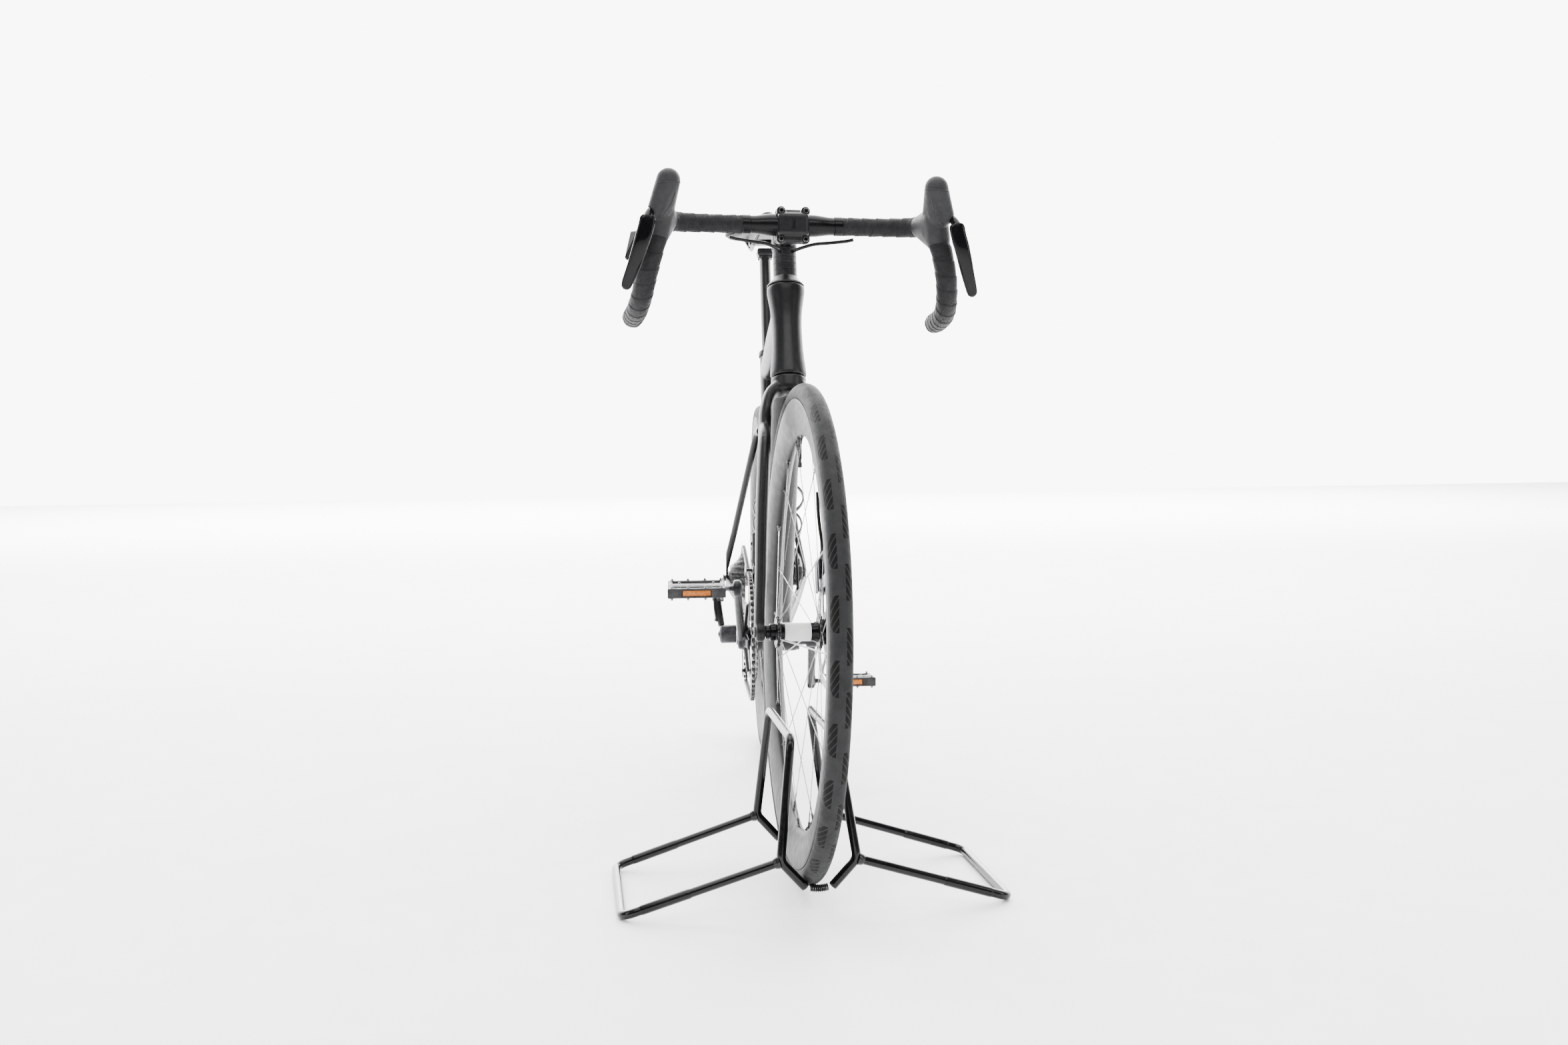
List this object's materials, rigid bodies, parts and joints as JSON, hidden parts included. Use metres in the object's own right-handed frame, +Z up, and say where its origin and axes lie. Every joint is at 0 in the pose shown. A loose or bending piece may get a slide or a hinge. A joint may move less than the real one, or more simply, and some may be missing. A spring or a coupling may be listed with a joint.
{
  "type": "bicycle on stand",
  "caption": "Road bicycle with drop bars, disc brakes, deep rims and flat platform pedals, its front wheel held in a tubular spring floor stand.",
  "frame": {"origin": "centre of the footprint on the floor", "axes": "+X forward along the bicycle, +Y to its left, +Z up"},
  "size_m": [1.6678, 0.5366, 1.0123],
  "materials": {
    "frame_paint": "satin black painted carbon",
    "bearing_steel": "turned steel",
    "black_alloy": "satin black anodised",
    "black_plastic": "moulded black",
    "hose": "smooth black hose",
    "chain_steel": "dark steel",
    "rail_steel": "dark titanium grey",
    "saddle_cover": "matte black synthetic leather",
    "stem_paint": "satin black paint",
    "bolt_steel": "black oxide",
    "gloss_bar": "gloss black",
    "bar_tape": "matte cork tape",
    "hood_rubber": "matte ribbed rubber",
    "lever_gloss": "gloss black",
    "tyre_rubber": "dark grey rubber with black tread sipes",
    "rim_carbon": "satin carbon",
    "spoke_steel": "dark bladed steel",
    "hub_black": "gloss black anodised",
    "rotor_steel": "ground steel",
    "cassette_steel": "dark nickel steel",
    "crank_alloy": "satin dark grey anodised",
    "ring_alloy": "black anodised with bare teeth",
    "pedal_plastic": "dark grey fibre-filled",
    "reflector": "amber reflector",
    "cage_alloy": "satin black",
    "stand_paint": "gloss black powder coat",
    "spring_steel": "black oxide spring"
  },
  "bodies": {
    "frame": {"frame_tubes": "frame_paint", "frame_stays": "frame_paint", "bottom_bracket": "bearing_steel", "head_bearings": "bearing_steel", "seat_clamp": "black_alloy", "rear_axle_unit": "black_alloy", "rear_caliper": "black_alloy", "bottle_cage": "black_plastic", "front_derailleur": "black_alloy", "rear_derailleur": "black_alloy", "rear_hose": "hose", "chain": "chain_steel"},
    "seat": {"seatpost": "frame_paint", "saddle_rails": "rail_steel", "saddle_shell": "black_plastic", "saddle_cover": "saddle_cover"},
    "fork": {"fork": "frame_paint", "spacers": "black_alloy", "stem": "stem_paint", "stem_faceplate": "stem_paint", "stem_bolts": "bolt_steel", "handlebar": "gloss_bar", "bar_tape_left": "bar_tape", "bar_tape_right": "bar_tape", "bar_plugs": "black_plastic", "hood_left": "hood_rubber", "hood_right": "hood_rubber", "front_axle_unit": "black_alloy", "front_caliper": "black_alloy", "front_hoses": "hose"},
    "lever_left": {"brake_lever_left": "lever_gloss"},
    "lever_right": {"brake_lever_right": "lever_gloss"},
    "paddle_left": {"shift_paddle_left": "lever_gloss"},
    "paddle_right": {"shift_paddle_right": "lever_gloss"},
    "front_wheel": {"front_tyre": "tyre_rubber", "front_rim": "rim_carbon", "front_spokes": "spoke_steel", "front_hub": "hub_black", "front_rotor": "rotor_steel"},
    "rear_wheel": {"rear_tyre": "tyre_rubber", "rear_rim": "rim_carbon", "rear_spokes": "spoke_steel", "rear_hub": "hub_black", "rear_rotor": "rotor_steel"},
    "cassette": {"cassette": "cassette_steel"},
    "crankset": {"crank_right": "crank_alloy", "crank_left": "crank_alloy", "chainrings": "ring_alloy"},
    "pedal_right": {"pedal_right": "pedal_plastic", "pedal_reflectors_right": "reflector"},
    "pedal_left": {"pedal_left": "pedal_plastic", "pedal_reflectors_left": "reflector"},
    "derailleur_cage": {"derailleur_cage": "cage_alloy"},
    "jockey_upper": {"jockey_upper": "black_plastic"},
    "jockey_lower": {"jockey_lower": "black_plastic"},
    "stand_centre": {"stand_springs": "spring_steel"},
    "stand_left": {"stand_left": "stand_paint"},
    "stand_right": {"stand_right": "stand_paint"}
  },
  "joints": [
    {"name": "steering", "type": "hinge", "parent": "frame", "child": "fork", "pos_m": [0.44906, -0.00342, 0.35034], "axis": [-0.2955, 0, 0.9553], "range_deg": [-44, 36]},
    {"name": "front_wheel_spin", "type": "hinge", "parent": "fork", "child": "front_wheel", "pos_m": [0.49583, 0.00001, 0.35086], "axis": [-0.0728, 0.9971, -0.0225], "continuous": true},
    {"name": "rear_wheel_spin", "type": "hinge", "parent": "frame", "child": "rear_wheel", "pos_m": [-0.49497, -0.00342, 0.339], "axis": [0, 1, 0], "continuous": true},
    {"name": "crank_spin", "type": "hinge", "parent": "frame", "child": "crankset", "pos_m": [-0.09072, -0.00342, 0.27085], "axis": [0, 1, 0], "continuous": true, "deforming": ["chain"]},
    {"name": "cassette_spin", "type": "hinge", "parent": "frame", "child": "cassette", "pos_m": [-0.49497, -0.00342, 0.339], "axis": [0, 1, 0], "continuous": true},
    {"name": "jockey_upper_spin", "type": "hinge", "parent": "derailleur_cage", "child": "jockey_upper", "pos_m": [-0.48765, -0.04367, 0.22908], "axis": [0, 1, 0], "continuous": true},
    {"name": "jockey_lower_spin", "type": "hinge", "parent": "derailleur_cage", "child": "jockey_lower", "pos_m": [-0.45682, -0.04367, 0.16045], "axis": [0, 1, 0], "continuous": true},
    {"name": "derailleur_cage_pivot", "type": "hinge", "parent": "frame", "child": "derailleur_cage", "pos_m": [-0.48765, -0.04367, 0.22908], "axis": [0, 1, 0], "range_deg": [-25, 30], "stiffness_Nm_per_rad": 1.2},
    {"name": "pedal_right_spin", "type": "hinge", "parent": "crankset", "child": "pedal_right", "pos_m": [0.05043, -0.13992, 0.37001], "axis": [0, 1, 0], "continuous": true},
    {"name": "pedal_left_spin", "type": "hinge", "parent": "crankset", "child": "pedal_left", "pos_m": [-0.23187, 0.13308, 0.17169], "axis": [0, 1, 0], "continuous": true},
    {"name": "seatpost_height", "type": "slide", "parent": "frame", "child": "seat", "axis": [-0.2955, 0, 0.9553], "range_m": [-0.1, 0.04]},
    {"name": "brake_lever_left_pull", "type": "hinge", "parent": "fork", "child": "lever_left", "pos_m": [0.45559, 0.21643, 0.91584], "axis": [-0.0728, 0.9971, -0.0225], "range_deg": [0, 14], "stiffness_Nm_per_rad": 0.8, "springref_deg": -17.19},
    {"name": "brake_lever_right_pull", "type": "hinge", "parent": "fork", "child": "lever_right", "pos_m": [0.48558, -0.19437, 0.92512], "axis": [-0.0728, 0.9971, -0.0225], "range_deg": [0, 14], "stiffness_Nm_per_rad": 0.8, "springref_deg": -17.19},
    {"name": "shift_paddle_left_press", "type": "hinge", "parent": "lever_left", "child": "paddle_left", "pos_m": [0.45797, 0.23395, 0.88448], "axis": [0.0037, 0.1022, -0.9948], "range_deg": [0, 6], "stiffness_Nm_per_rad": 0.3, "springref_deg": -5.73},
    {"name": "shift_paddle_right_press", "type": "hinge", "parent": "lever_right", "child": "paddle_right", "pos_m": [0.49058, -0.21275, 0.89457], "axis": [-0.0217, 0.1451, 0.9892], "range_deg": [0, 6], "stiffness_Nm_per_rad": 0.3, "springref_deg": -5.73},
    {"name": "stand_lift_off", "type": "slide", "parent": "fork", "child": "stand_centre", "axis": [0, 0, -1], "range_m": [0, 0.3]},
    {"name": "stand_left_open", "type": "hinge", "parent": "stand_centre", "child": "stand_left", "pos_m": [0.49583, 0.00001, 0.033], "axis": [-0.9973, -0.0731, 0], "range_deg": [0, 8], "deforming": ["stand_springs"]},
    {"name": "stand_right_open", "type": "hinge", "parent": "stand_centre", "child": "stand_right", "pos_m": [0.49583, 0.00001, 0.033], "axis": [0.9973, 0.0731, 0], "range_deg": [0, 8]}
  ],
  "couplings": [
    {"joint": "cassette_spin", "follows": "crank_spin", "ratio": 1.7333},
    {"joint": "jockey_upper_spin", "follows": "crank_spin", "ratio": -4.7273},
    {"joint": "jockey_lower_spin", "follows": "crank_spin", "ratio": 4.7273}
  ]
}
